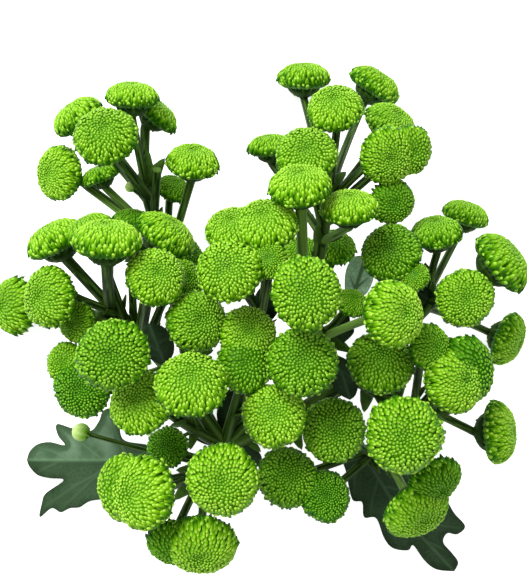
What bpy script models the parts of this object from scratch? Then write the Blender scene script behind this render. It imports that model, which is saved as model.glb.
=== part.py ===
"""Pompon chrysanthemum: one cut, many-branched spray that lies on a flat surface.

Everything is placed as it is seen by an eye straight above the surface. A column and a row say where
a thing appears in that view, and its height above the surface then fixes its place in metres.
The surface is z = 0, the view's right is +X and its top is +Y.
"""

import math
from collections import namedtuple

import bmesh
import bpy
from mathutils import Vector

# The view from above. The eye's place puts the origin under the middle of the spray
EYE_X = 0.0024
EYE_Y = 0.0130
EYE_HEIGHT = 0.500
VIEW_FOCAL = 911.0
VIEW_COLUMN = 263.5
VIEW_ROW = 294.0
EYE = Vector((EYE_X, EYE_Y, EYE_HEIGHT))
MM = 0.001

# A bloom, in parts of its radius
BLOOM_DEPTH = 0.96
BLOOM_MIDDLE = 0.42
BACK_RADIUS = 0.62
RIM_HEIGHT = 0.22
DOME_POWER = 0.75
WHORL_DIP = 0.10
WHORL_RADIUS = 0.25
FLORET_RISE = 0.10
FLORET_FREE = 0.93
FLORET_SINK = 0.03
FLORET_LEAN = 0.05
FLORET_TWIST = 0.12
RIM_CLIMB = 0.05
TOP_CLIMB = 0.98

# Florets round a bloom and rings of them, for blooms in full view and for half-hidden ones
OPEN_FLORETS = 9
OPEN_RINGS = 4
HIDDEN_FLORETS = 7
HIDDEN_RINGS = 3

# The cup of bracts under a bloom, in parts of the bloom's radius
CUP_GAP = 0.0003
CUP_RADIUS = 0.58
CUP_WAIST_RADIUS = 0.44
CUP_WAIST_DEPTH = 0.18
CUP_DEPTH = 0.40

# Stalks
STALK_RADIUS = 0.0020
# Stouter stalks, by the head they bear
STOUT_STALKS = {3: 1.3, 4: 1.25, 5: 1.15, 9: 1.35, 11: 1.35, 17: 1.15, 30: 1.25, 58: 1.25, 69: 1.15}
STALK_SPACING = 0.003
STALK_POINTS = 7
STALK_STEP = 2
STALK_HANDLE = 0.36
STALK_LIFT = 0.6
STALK_SIDES = 5
HIDDEN_STALK_SIDES = 4
BRANCH_SIDES = 5
BRANCH_POINTS = 11
BRANCH_STEP = 2
BEND_ROUNDS = 60
BEND_EASE = 0.25
STALK_CLEARANCE = 0.0034
BRANCH_CLEARANCE = 0.0050
OBSTACLE_DEPTH = 0.62
OBSTACLE_BACK = 0.19
LOWEST_STALK = 0.003

# Buds: width, how far back from its branch's tip each one grows, and the place along a bud and its
# radius there in parts of its width
BUD_WIDTH = 0.0087
BUD_ROOT = 0.010
TINY_BUD_WIDTH = 0.0050
TINY_BUD_ROOT = 0.008
STUB_ROOT = 0.016
STUB_RADIUS = 0.0023
BUD_STALK_RADIUS = 0.0011
BUD_STALK_SAG = 0.25
BUD_FOOT = 0.5
BUD_SHAPE = [(-0.3, 0.42), (0.1, 0.5), (0.42, 0.2)]

# Leaves
LEAF_THICKNESS = 0.0009
LEAF_FOLD = 0.16
LEAF_ARCH = 0.003
LEAF_STALK_RADIUS = 0.0010
LEAF_STALK_GAP = 0.0020

Head = namedtuple("Head", "number column row height faces tilt width hidden")
Beside = namedtuple("Beside", "number column row width hidden neighbour")
Body = namedtuple("Body", "number middle forward radius hidden")
Branch = namedtuple("Branch", "name start end points heads")

# Where each bloom's middle appears, its height and width in millimetres, the way that it faces in the
# view (0 is right, 90 is up) and how far it is tilted toward the eye (90 faces it)
HEADS = [
    # upper left
    Head(1, 77, 116, 55, 125, 6, 25.9, False),
    Head(2, 132, 95, 62, 88, 9, 25.2, False),
    Head(3, 105, 135, 88, 110, 56, 28.2, False),
    Head(4, 157, 113, 42, 50, 6, 23.0, True),
    Head(5, 58, 173, 45, 175, 45, 26.5, False),
    Head(6, 100, 174, 44, 112, 5, 18.6, True),
    Head(7, 193, 161, 60, 85, 28, 25.1, False),
    Head(8, 174, 188, 36, 65, 38, 17.0, True),
    # left
    Head(9, 55, 238, 75, 118, 8, 28.4, False),
    Head(11, 107, 239, 108, 90, 17, 28.7, False),
    Head(12, 136, 221, 62, 75, 15, 20.0, True),
    Head(13, 167, 234, 72, 57, 15, 29.5, False),
    Head(14, 184, 255, 50, 40, 45, 22.0, True),
    Head(15, 48, 297, 88, 175, 50, 27.1, False),
    Head(16, 13, 306, 11.5, 180, 35, 29.5, True),
    Head(17, 156, 276, 104, 60, 68, 26.0, False),
    Head(18, 184, 280, 79, 20, 50, 21.0, True),
    Head(19, 113, 355, 120, 200, 85, 29.6, False),
    Head(20, 197, 321, 96, 20, 72, 27.0, False),
    Head(22, 82, 388, 80, 190, 75, 26.5, False),
    Head(23, 76, 322, 78, 190, 60, 19.0, True),
    # left of the centre
    Head(26, 248, 333, 94, 60, 75, 24.6, False),
    Head(28, 229, 270, 114, 120, 72, 27.2, False),
    Head(29, 265, 223, 104, 100, 45, 27.8, False),
    Head(30, 191, 383, 120, 90, 60, 29.5, False),
    Head(31, 140, 402, 100, 140, 62, 28.2, False),
    # lower left
    Head(32, 141, 493, 104, 185, 52, 31.5, False),
    Head(33, 222, 480, 116, 250, 78, 30.2, False),
    Head(34, 201, 546, 90, 268, 42, 32.0, False),
    Head(36, 167, 447, 62, 130, 75, 19.3, True),
    # centre
    Head(39, 306, 293, 130, 90, 85, 29.2, False),
    Head(40, 302, 361, 112, 90, 80, 29.8, False),
    Head(41, 395, 314, 118, 5, 50, 28.7, False),
    Head(42, 381, 361, 86, 85, 65, 29.8, False),
    Head(43, 333, 246, 46, 85, 45, 21.6, True),
    Head(45, 391, 252, 80, 110, 70, 26.7, False),
    Head(55, 352, 302, 72, 60, 50, 15.0, True),
    Head(57, 349, 206, 100, 92, 26, 24.8, False),
    Head(58, 300, 185, 108, 93, 29, 26.5, False),
    Head(59, 306, 154, 98, 95, 62, 26.5, False),
    Head(60, 270, 145, 46, 95, 10, 22.0, True),
    # upper right
    Head(61, 335, 107, 82, 100, 45, 25.7, False),
    Head(62, 304, 76, 12.5, 90, 9, 27.7, False),
    Head(63, 376, 84, 13, 58, 3, 27.7, False),
    Head(64, 392, 124, 56, 55, 27, 26.5, False),
    Head(65, 388, 156, 86, 330, 70, 25.5, False),
    # right
    Head(46, 436, 232, 66, 95, 24, 24.8, False),
    Head(47, 466, 214, 11.5, 72, 9, 24.4, False),
    Head(48, 503, 261, 72, 38, 9, 31.0, False),
    Head(49, 465, 298, 88, 0, 85, 26.2, False),
    Head(50, 509, 340, 12.5, 338, 14, 28.0, False),
    Head(53, 456, 380, 98, 0, 54, 29.0, False),
    # below the centre
    Head(69, 274, 415, 100, 90, 80, 28.0, False),
    Head(70, 334, 430, 84, 0, 85, 28.2, False),
    Head(71, 404, 435, 126, 300, 82, 30.8, False),
    Head(72, 288, 477, 76, 45, 82, 27.9, False),
    Head(74, 418, 512, 86, 300, 35, 30.0, False),
    Head(76, 500, 432, 60, 0, 10, 29.9, False),
]

# Blooms pressed against a neighbour. The back of each is level with the back of its neighbour
BESIDE = [
    Beside(10, 88, 228, 21.2, True, 9),
    Beside(21, 66, 363, 18.6, True, 22),
    Beside(27, 245, 364, 24.8, True, 26),
    Beside(56, 269, 260, 15.0, True, 28),
    Beside(25, 232, 228, 23.2, False, 29),
    Beside(37, 124, 487, 28.6, True, 32),
    Beside(35, 176, 544, 25.0, True, 34),
    Beside(38, 302, 253, 21.0, True, 43),
    Beside(51, 414, 276, 13.5, True, 45),
    Beside(52, 431, 347, 19.5, True, 53),
    Beside(54, 467, 370, 29.0, True, 53),
    Beside(66, 409, 151, 21.8, True, 65),
    Beside(67, 393, 202, 21.0, True, 65),
    Beside(73, 325, 496, 23.2, True, 72),
    Beside(75, 436, 482, 24.4, True, 74),
]

# Blooms that have grown pressed into each other
PRESSED = [
    (9, 10), (13, 12), (20, 26, 27), (21, 22), (28, 56, 29, 25), (32, 37), (34, 35), (43, 38),
    (45, 51), (53, 52, 54), (58, 59), (65, 66, 67), (72, 73), (74, 75),
]

# Each branch runs through points in view (column, row, height in millimetres). Its radii are in
# millimetres. Its blooms are named from its tip back toward its root
BRANCHES = [
    Branch("main", 5.2, 4.6, [(212, 508, 4.2), (218, 480, 4.0), (224, 446, 12)], []),
    Branch("left", 4.2, 3.2, [(224, 446, 12), (203, 405, 28), (164, 350, 42), (110, 306, 56)],
           [11, 9, 15, 16, 10, 23, 12, 13, 17, 18, 14, 20]),
    Branch("upper_left", 4.2, 3.2, [(203, 405, 28), (188, 300, 34), (160, 240, 42), (145, 186, 50)],
           [4, 2, 3, 1]),
    Branch("upper_side", 3.0, 2.6, [(188, 300, 34), (176, 264, 36), (163, 242, 38)], [6, 5, 8, 7]),
    Branch("low_left", 3.2, 2.6, [(224, 446, 12), (192, 436, 34), (160, 410, 50), (115, 368, 62)],
           [19, 21, 22, 31, 30]),
    Branch("lower", 3.2, 2.6, [(224, 446, 12), (216, 458, 34), (200, 474, 50)],
           [32, 37, 34, 35, 33, 36]),
    Branch("middle_left", 3.4, 2.8, [(224, 446, 12), (238, 400, 34), (262, 318, 58)],
           [28, 29, 25, 56, 26, 27]),
    Branch("middle", 3.6, 3.0, [(224, 446, 12), (290, 385, 34), (322, 335, 56)],
           [39, 41, 40, 55, 43, 38, 58]),
    Branch("upper", 3.8, 3.0, [(290, 385, 34), (314, 318, 58), (320, 262, 77), (330, 185, 74)],
           [61, 63, 62, 65, 64, 66, 67, 59, 60, 57]),
    Branch("right", 4.0, 3.6, [(224, 446, 12), (262, 428, 24), (320, 420, 28), (365, 405, 40), (400, 350, 50),
                               (430, 302, 56)],
           [49, 50, 48, 46, 47, 51, 45, 42]),
    Branch("low_right", 3.0, 2.6, [(365, 405, 40), (400, 415, 56), (432, 408, 62)],
           [53, 76, 54, 52, 71]),
    Branch("bottom_right", 2.8, 2.4, [(320, 420, 28), (350, 450, 38), (388, 462, 46)],
           [74, 75, 70, 73, 72, 69]),
]

# Buds and the stub in view (column, row, height in metres)
BUD = (81, 432, 0.060)
TINY_BUD = (130, 187, 0.056)
STUB = (157, 170, 0.064)

# Leaves by name: midrib from base to tip, the outline on each side of it, and the height in
# millimetres at base and tip
LEAVES = [
    ("leaf_lower_left", [(150, 452), (125, 459), (100, 461), (62, 461), (27, 460)],
     [(148, 445), (124, 440), (119, 424), (112, 409), (103, 411), (99, 421), (90, 431), (72, 428),
      (57, 424), (58, 435), (65, 445), (50, 442), (38, 444), (30, 451)],
     [(150, 459), (130, 482), (108, 497), (90, 501), (80, 507), (70, 508), (61, 512), (52, 508),
      (40, 517), (42, 503), (46, 493), (64, 480), (50, 478), (38, 475), (30, 467)], (22, 0)),
    ("leaf_lower_right", [(356, 448), (372, 468), (388, 494), (420, 535), (454, 571)],
     [(342, 456), (346, 472), (352, 499), (362, 502), (364, 517), (376, 518), (384, 538), (393, 548),
      (408, 550), (413, 545), (424, 560), (436, 569)],
     [(372, 444), (398, 452), (422, 466), (440, 488), (450, 506), (455, 514), (465, 526), (457, 534),
      (447, 533), (443, 542), (452, 553), (458, 562)], (26, 0)),
    ("leaf_middle", [(352, 300), (358, 280), (366, 256)],
     [(345, 290), (346, 270), (354, 257)], [(366, 294), (374, 276), (372, 260)], (44, 58)),
    ("leaf_left", [(166, 366), (158, 345), (150, 324)],
     [(152, 360), (141, 345), (142, 330)], [(174, 352), (172, 336), (162, 326)], (66, 82)),
    ("leaf_beside_middle", [(330, 352), (343, 376), (350, 400)],
     [(329, 372), (335, 390), (342, 396)], [(350, 362), (358, 380), (356, 394)], (62, 52)),
]

# Leaves low down between the stems, in the same way. They are fused with the stem that bears them
INNER_LEAVES = [
    ("inner_leaf_low", [(227, 445), (240, 450), (258, 466)],
     [(232, 440), (246, 440), (256, 448), (262, 458)], [(228, 452), (238, 462), (250, 470)], (13, 6)),
    ("inner_leaf_right", [(226, 441), (240, 418), (256, 388)],
     [(220, 432), (217, 410), (228, 390), (246, 382)], [(238, 436), (252, 424), (262, 408), (264, 394)],
     (9, 8)),
    ("inner_leaf_left", [(221, 443), (204, 424), (190, 398)],
     [(212, 446), (194, 438), (182, 418), (182, 404)], [(222, 432), (212, 412), (200, 398)], (11, 8)),
    ("inner_leaf_upper", [(262, 322), (266, 304), (274, 284)],
     [(254, 314), (254, 298), (264, 284)], [(272, 320), (282, 304), (284, 288)], (56, 60)),
    ("inner_leaf_middle", [(320, 340), (334, 334), (350, 322)],
     [(322, 330), (336, 322), (348, 314)], [(328, 350), (342, 344), (354, 332)], (52, 55)),
    ("inner_leaf_far_right", [(432, 306), (424, 296), (412, 290)],
     [(428, 312), (416, 306), (408, 298)], [(434, 296), (426, 286), (416, 282)], (54, 58)),
]


def in_view(column, row, height):
    """The point at this height, in metres, that appears at this column and row."""
    scale = (EYE_HEIGHT - height) / VIEW_FOCAL
    return Vector((EYE_X + (column - VIEW_COLUMN) * scale, EYE_Y + (VIEW_ROW - row) * scale, height))


def facing(middle, azimuth, tilt):
    """Direction that looks this way in the view and is tilted this far toward the eye."""
    to_eye = (EYE - middle).normalized()
    right = (Vector((1, 0, 0)) - to_eye * to_eye.x).normalized()
    up = to_eye.cross(right)
    turn = math.radians(azimuth)
    lean = math.radians(tilt)
    across = right * math.cos(turn) + up * math.sin(turn)
    return (across * math.cos(lean) + to_eye * math.sin(lean)).normalized()


def frame_along(direction):
    """Two directions square to the given one and to each other."""
    start = Vector((0, 0, 1)) if abs(direction.z) < 0.9 else Vector((0, 1, 0))
    side = direction.cross(start).normalized()
    return side, side.cross(direction).normalized()


def material(name, colour, roughness):
    """A plain material with this base colour and roughness."""
    made = bpy.data.materials.new(name)
    made.use_nodes = True
    shader = made.node_tree.nodes["Principled BSDF"]
    shader.inputs["Base Color"].default_value = (*colour, 1)
    shader.inputs["Roughness"].default_value = roughness
    return made


def finish(bm, name, surface):
    """Make one object of a bmesh, with its faces turned out."""
    bmesh.ops.recalc_face_normals(bm, faces=bm.faces)
    mesh = bpy.data.meshes.new(name)
    bm.to_mesh(mesh)
    bm.free()
    mesh.materials.append(surface)
    made = bpy.data.objects.new(name, mesh)
    bpy.context.scene.collection.objects.link(made)
    return made


def join_all(first, others):
    """Fuse objects into the first with one Boolean union on their collection."""
    group = bpy.data.collections.new(first.name + "_pieces")
    bpy.context.scene.collection.children.link(group)
    for piece in others:
        bpy.context.scene.collection.objects.unlink(piece)
        group.objects.link(piece)
    union = first.modifiers.new("join", "BOOLEAN")
    union.operation = "UNION"
    union.operand_type = "COLLECTION"
    union.collection = group
    union.solver = "EXACT"
    bpy.context.view_layer.update()
    seen = first.evaluated_get(bpy.context.evaluated_depsgraph_get())
    joined = bpy.data.meshes.new_from_object(seen)
    first.modifiers.remove(union)
    first.data = joined
    for piece in list(group.objects):
        bpy.data.objects.remove(piece)
    bpy.data.collections.remove(group)


def dome(turn, climb, lift):
    """Point on a bloom of radius 1: turn round it, climb from rim (0) to middle (1), lift outward."""
    angle = climb * math.pi / 2
    radius = math.cos(angle) ** DOME_POWER
    height = RIM_HEIGHT + (BLOOM_DEPTH - RIM_HEIGHT) * math.sin(angle)
    height -= WHORL_DIP * math.exp(-((radius / WHORL_RADIUS) ** 2))
    radius += lift * math.cos(angle)
    height += lift * math.sin(angle)
    return Vector((radius * math.cos(turn), radius * math.sin(turn), height))


def back_of(middle, forward, radius):
    """The middle of a bloom's flat back."""
    return middle - forward * radius * BLOOM_MIDDLE * FLORET_FREE


def all_bodies():
    """Every bloom's place, facing and radius, by its number."""
    found = {}
    for head in HEADS:
        middle = in_view(head.column, head.row, head.height * MM)
        forward = facing(middle, head.faces, head.tilt)
        found[head.number] = Body(head.number, middle, forward, head.width * MM / 2, head.hidden)
    for head in BESIDE:
        level = found[head.neighbour]
        radius = head.width * MM / 2
        back = back_of(level.middle, level.forward, level.radius)
        sight = in_view(head.column, head.row, 0) - EYE
        rise = (back - back_of(Vector(), level.forward, radius) - EYE).dot(level.forward)
        middle = EYE + sight * rise / sight.dot(level.forward)
        found[head.number] = Body(head.number, middle, level.forward, radius, head.hidden)
    return found


def bloom(body, surface):
    """A bloom: a flat back, and rings of pointed florets that climb its dome in turned rows."""
    side, up = frame_along(body.forward)
    florets = HIDDEN_FLORETS if body.hidden else OPEN_FLORETS
    rings = HIDDEN_RINGS if body.hidden else OPEN_RINGS
    step = 2 * math.pi / florets
    bm = bmesh.new()

    def vertex(local):
        place = side * local.x + up * local.y + body.forward * (local.z - BLOOM_MIDDLE)
        return bm.verts.new(body.middle + place * body.radius * FLORET_FREE)

    def turn(ring, place):
        return (place + ring / 2 + ring * FLORET_TWIST) * step + body.number

    def ring_of(ring, climb, offset, lift):
        places = [dome(turn(ring, i + offset), climb, lift) for i in range(florets)]
        return [vertex(place) for place in places]

    back = [Vector((math.cos(turn(0, i)), math.sin(turn(0, i)), 0)) for i in range(florets)]
    below = [vertex(place * BACK_RADIUS) for place in back]
    bm.faces.new(below)
    tips_below = None
    for ring in range(1, rings + 1):
        climb = RIM_CLIMB + TOP_CLIMB * (ring - 1) / rings
        low = ring_of(ring, climb, 0, -FLORET_SINK)
        tips = ring_of(ring, climb - FLORET_LEAN, 0.5, FLORET_RISE)
        for i in range(florets):
            after = (i + 1) % florets
            bm.faces.new((low[i], below[after], tips[i]))
            bm.faces.new((tips[i], below[after], low[after]))
            if tips_below is None:
                bm.faces.new((below[i], below[after], low[i]))
            else:
                bm.faces.new((below[i], tips_below[i], low[i]))
                bm.faces.new((tips_below[i], below[after], low[i]))
        below = low
        tips_below = tips
    whorl = vertex(dome(0, 1, 0))
    for i in range(florets):
        bm.faces.new((below[i], tips_below[i], whorl))
        bm.faces.new((tips_below[i], below[(i + 1) % florets], whorl))
    return finish(bm, f"bloom_{body.number:02d}", surface)


def tube(name, points, radii, sides, surface):
    """A closed tube through the points, with its own radius at each."""
    bm = bmesh.new()
    rings = []
    side = None
    for i, point in enumerate(points):
        ahead = points[min(i + 1, len(points) - 1)] - points[max(i - 1, 0)]
        ahead.normalize()
        if side is None:
            side, _ = frame_along(ahead)
        side = (side - ahead * side.dot(ahead)).normalized()
        up = ahead.cross(side)
        ring = []
        for k in range(sides):
            angle = 2 * math.pi * k / sides
            ring.append(bm.verts.new(point + (side * math.cos(angle) + up * math.sin(angle)) * radii[i]))
        rings.append(ring)
    for first, second in zip(rings, rings[1:]):
        for k in range(sides):
            after = (k + 1) % sides
            bm.faces.new((first[k], first[after], second[after], second[k]))
    bm.faces.new(rings[0])
    bm.faces.new(rings[-1])
    return finish(bm, name, surface)


def curve(points, handles, count):
    """Points along a cubic curve from the first point to the last, led by two handles."""
    first, last = points
    found = []
    for i in range(count):
        t = i / (count - 1)
        s = 1 - t
        found.append(first * s ** 3 + handles[0] * 3 * s * s * t + handles[1] * 3 * s * t * t
                     + last * t ** 3)
    return found


def smooth_path(corners, count):
    """A smooth path of this many points through the corners."""
    path = []
    spans = len(corners) - 1
    for i in range(count):
        place = i * spans / (count - 1)
        k = min(int(place), spans - 1)
        t = place - k
        before = corners[max(k - 1, 0)]
        after = corners[min(k + 2, spans)]
        start, end = corners[k], corners[k + 1]
        path.append(0.5 * (2 * start + (end - before) * t
                           + (2 * before - 5 * start + 4 * end - after) * t * t
                           + (3 * start - before - 3 * end + after) * t ** 3))
    return path


def bend_clear(path, blooms, clearance):
    """Ease a path's inner points out of the blooms near it and up from the surface."""
    for turn in range(BEND_ROUNDS):
        ease = BEND_EASE if turn < BEND_ROUNDS - 1 else 0
        for i in range(1, len(path) - 1):
            point = path[i].lerp((path[i - 1] + path[i + 1]) / 2, ease)
            for body in blooms:
                away = point - (body.middle - body.forward * body.radius * OBSTACLE_BACK)
                if away.length > body.radius + clearance:
                    continue
                along = away.dot(body.forward)
                across = (away - body.forward * along).length
                depth = math.hypot(along / (body.radius * OBSTACLE_DEPTH + clearance),
                                   across / (body.radius + clearance))
                if 0 < depth < 1:
                    point = point - away + away / depth
            point.z = max(point.z, LOWEST_STALK)
            path[i] = point
    return path


def walk_back(path, distance):
    """The point this far back from a path's tip, and the direction of growth there."""
    left = distance
    for end, start in zip(reversed(path[1:]), reversed(path[:-1])):
        length = (end - start).length
        if length >= left:
            return end.lerp(start, left / length), (end - start).normalized()
        left -= length
    return path[0], (path[1] - path[0]).normalized()


def stalk(body, bodies, path, distance, surface):
    """The cup of bracts under a bloom and its stalk, down to a branch."""
    forward, radius = body.forward, body.radius
    top = back_of(body.middle, forward, radius) - forward * CUP_GAP
    foot = top - forward * radius * CUP_DEPTH
    join, growth = walk_back(path, distance)
    reach = (join - foot).length * STALK_HANDLE
    handles = (foot - forward * reach, join + growth * reach * STALK_LIFT)
    others = [other for other in bodies.values() if other.number != body.number]
    route = bend_clear(curve((foot, join), handles, STALK_POINTS), others, STALK_CLEARANCE)
    points = [top, top - forward * radius * CUP_WAIST_DEPTH] + route[::STALK_STEP]
    radii = [radius * CUP_RADIUS, radius * CUP_WAIST_RADIUS]
    radii += [STALK_RADIUS * STOUT_STALKS.get(body.number, 1)] * (len(points) - len(radii))
    sides = HIDDEN_STALK_SIDES if body.hidden else STALK_SIDES
    return tube(f"stalk_{body.number}", points, radii, sides, surface)


def bud(name, middle, width, root, surface):
    """An unopened bud and its thin stalk."""
    up = (middle - root).normalized()
    bent = root.lerp(middle, 0.5) + Vector((0, 0, width * BUD_STALK_SAG))
    points = [root, bent, middle - up * width * BUD_FOOT]
    radii = [BUD_STALK_RADIUS] * len(points)
    for along, radius in BUD_SHAPE:
        points.append(middle + up * width * along)
        radii.append(width * radius)
    return tube(name, points, radii, BRANCH_SIDES, surface)


def leaf_stalk(name, base, grown, bodies, surface):
    """A leaf's stalk, from the nearest point of the branches to just short of the leaf's base."""
    root = min(grown, key=lambda point: (point - base).length)
    end = base + (root - base).normalized() * LEAF_STALK_GAP
    route = curve((root, end), (root.lerp(end, 0.4), root.lerp(end, 0.7)), STALK_POINTS)
    points = bend_clear(route, list(bodies.values()), STALK_CLEARANCE)[::STALK_STEP]
    return tube(name, points, [LEAF_STALK_RADIUS] * len(points), HIDDEN_STALK_SIDES, surface)


def stem_system(bodies, surface):
    """The main stem, its branches, all stalks, the cups, the buds and a broken stub, as one."""
    pieces = []
    grown = []
    for branch in BRANCHES:
        corners = [in_view(column, row, height * MM) for column, row, height in branch.points]
        if grown:
            corners[0] = min(grown, key=lambda point: (point - corners[0]).length)
        path = smooth_path(corners, BRANCH_POINTS)
        path = bend_clear(path, list(bodies.values()), BRANCH_CLEARANCE)
        grown += path[1:]
        radii = [(branch.start + (branch.end - branch.start) * i / (BRANCH_POINTS - 1)) * MM
                 for i in range(BRANCH_POINTS)]
        pieces.append(tube(branch.name, path[::BRANCH_STEP], radii[::BRANCH_STEP], BRANCH_SIDES,
                           surface))
        for i, number in enumerate(branch.heads):
            pieces.append(stalk(bodies[number], bodies, path, i * STALK_SPACING, surface))
        if branch.name == "lower":
            root = walk_back(path, BUD_ROOT)[0]
            pieces.append(bud("bud", in_view(*BUD), BUD_WIDTH, root, surface))
        if branch.name == "upper_left":
            root = walk_back(path, TINY_BUD_ROOT)[0]
            pieces.append(bud("tiny_bud", in_view(*TINY_BUD), TINY_BUD_WIDTH, root, surface))
            ends = [walk_back(path, STUB_ROOT)[0], in_view(*STUB)]
            pieces.append(tube("stub", ends, [STUB_RADIUS] * 2, BRANCH_SIDES, surface))
    for name, rib, left, right, heights in LEAVES:
        base = in_view(*rib[0], heights[0] * MM)
        pieces.append(leaf_stalk(name + "_stalk", base, grown, bodies, surface))
    for name, rib, left, right, heights in INNER_LEAVES:
        pieces.append(leaf(name, rib, left, right, (heights[0] * MM, heights[1] * MM), surface))
    stems = pieces[0]
    stems.name = "stems"
    join_all(stems, pieces[1:])
    return stems


def leaf(name, rib, left, right, heights, surface):
    """A thin lobed leaf, folded along its midrib, from its outline's two sides in view."""
    near, far = heights
    base = Vector(rib[0])
    run = Vector(rib[-1]) - base
    ribs = [Vector(point) for point in rib]

    def placed(point):
        flat = Vector(point)
        along = max(0.0, min(1.0, (flat - base).dot(run) / run.length_squared))
        aside = min((flat - spot).length for spot in ribs) * (EYE_HEIGHT / VIEW_FOCAL)
        arch = LEAF_ARCH * math.sin(math.pi * along)
        height = near + (far - near) * along + LEAF_FOLD * aside + arch
        return in_view(flat.x, flat.y, height)

    bm = bmesh.new()
    spine = [bm.verts.new(placed(point)) for point in rib]
    for edge in (left, right):
        side = [bm.verts.new(placed(point)) for point in edge]
        bm.faces.new(spine + side[::-1])
    bmesh.ops.recalc_face_normals(bm, faces=bm.faces)
    bmesh.ops.triangulate(bm, faces=bm.faces)
    grown = bmesh.ops.extrude_face_region(bm, geom=bm.faces[:])
    upper = [item for item in grown["geom"] if isinstance(item, bmesh.types.BMVert)]
    bmesh.ops.translate(bm, verts=upper, vec=(0, 0, LEAF_THICKNESS))
    bmesh.ops.triangulate(bm, faces=bm.faces)
    return finish(bm, name, surface)


def rest_flat(made):
    """Cut a small flat where a piece meets the surface."""
    bm = bmesh.new()
    bm.from_mesh(made.data)
    if min(vertex.co.z for vertex in bm.verts) < 0:
        geometry = bm.verts[:] + bm.edges[:] + bm.faces[:]
        bmesh.ops.bisect_plane(bm, geom=geometry, plane_co=(0, 0, 0), plane_no=(0, 0, -1),
                               clear_outer=True)
        edges = [edge for edge in bm.edges if edge.is_boundary]
        bmesh.ops.holes_fill(bm, edges=edges)
        bmesh.ops.recalc_face_normals(bm, faces=bm.faces)
        bm.to_mesh(made.data)
    bm.free()


def main():
    for old in list(bpy.data.objects):
        bpy.data.objects.remove(old)
    lime = material("lime_florets", (0.24, 0.52, 0.02), 0.55)
    green = material("green_stems", (0.05, 0.13, 0.02), 0.5)
    dark = material("dark_leaves", (0.02, 0.07, 0.03), 0.5)
    bodies = all_bodies()
    blooms = {number: bloom(body, lime) for number, body in bodies.items()}
    for group in PRESSED:
        join_all(blooms[group[0]], [blooms.pop(number) for number in group[1:]])
    for made in blooms.values():
        rest_flat(made)
    rest_flat(stem_system(bodies, green))
    for name, rib, left, right, heights in LEAVES:
        leaf(name, rib, left, right, (heights[0] * MM, heights[1] * MM), dark)


main()
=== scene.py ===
import math
import random
from collections import namedtuple

import bmesh
import bpy
from mathutils import Matrix, Vector


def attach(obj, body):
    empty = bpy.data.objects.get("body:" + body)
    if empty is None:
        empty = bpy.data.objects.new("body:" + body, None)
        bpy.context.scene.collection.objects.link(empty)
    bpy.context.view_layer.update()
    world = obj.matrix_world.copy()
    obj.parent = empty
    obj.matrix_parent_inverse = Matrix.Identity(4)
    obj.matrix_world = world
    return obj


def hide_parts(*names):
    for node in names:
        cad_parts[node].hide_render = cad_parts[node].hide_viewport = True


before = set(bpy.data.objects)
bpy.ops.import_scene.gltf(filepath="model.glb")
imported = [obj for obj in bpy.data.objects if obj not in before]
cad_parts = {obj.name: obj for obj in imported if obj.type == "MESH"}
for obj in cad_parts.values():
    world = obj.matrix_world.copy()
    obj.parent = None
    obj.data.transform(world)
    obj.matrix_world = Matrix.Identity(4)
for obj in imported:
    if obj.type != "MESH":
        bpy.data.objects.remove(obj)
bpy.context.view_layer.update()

# The camera looks straight down on the spray, which lies on a pale surface, from half a metre above
# it. Its focal length is held in pixels of a picture 527 wide and 588 high.
EYE = Vector((0.0024, 0.0130, 0.500))
VIEW_WIDTH = 527
VIEW_COLUMN = 263.5
VIEW_ROW = 294.0
VIEW_FOCAL = 911.0
SENSOR_WIDTH = 36.0
MM = 0.001

lens = bpy.data.cameras.new("view_from_above")
lens.sensor_fit = "HORIZONTAL"
lens.sensor_width = SENSOR_WIDTH
lens.lens = SENSOR_WIDTH * VIEW_FOCAL / VIEW_WIDTH
camera = bpy.data.objects.new("view_from_above", lens)
camera.location = EYE
bpy.context.scene.collection.objects.link(camera)
bpy.context.scene.camera = camera


def in_view(column, row, height):
    """The point at this height, in metres, that the camera sees at this column and row."""
    scale = (EYE.z - height) / VIEW_FOCAL
    across = (column - VIEW_COLUMN) * scale
    up = (VIEW_ROW - row) * scale
    return Vector((EYE.x + across, EYE.y + up, height))


# The flower heads. Each is a flattened ball of hundreds of small hooded florets, fleshy and lime
# green, set on a firm green disc in turned rows. The youngest crowd the dark dimple in the middle,
# and the oldest spread round the rim in a fringe of points.
Head = namedtuple("Head", "number column row height faces tilt width tone")
Beside = namedtuple("Beside", "number column row width neighbour tone")
Body = namedtuple("Body", "number middle forward radius tone")

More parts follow.
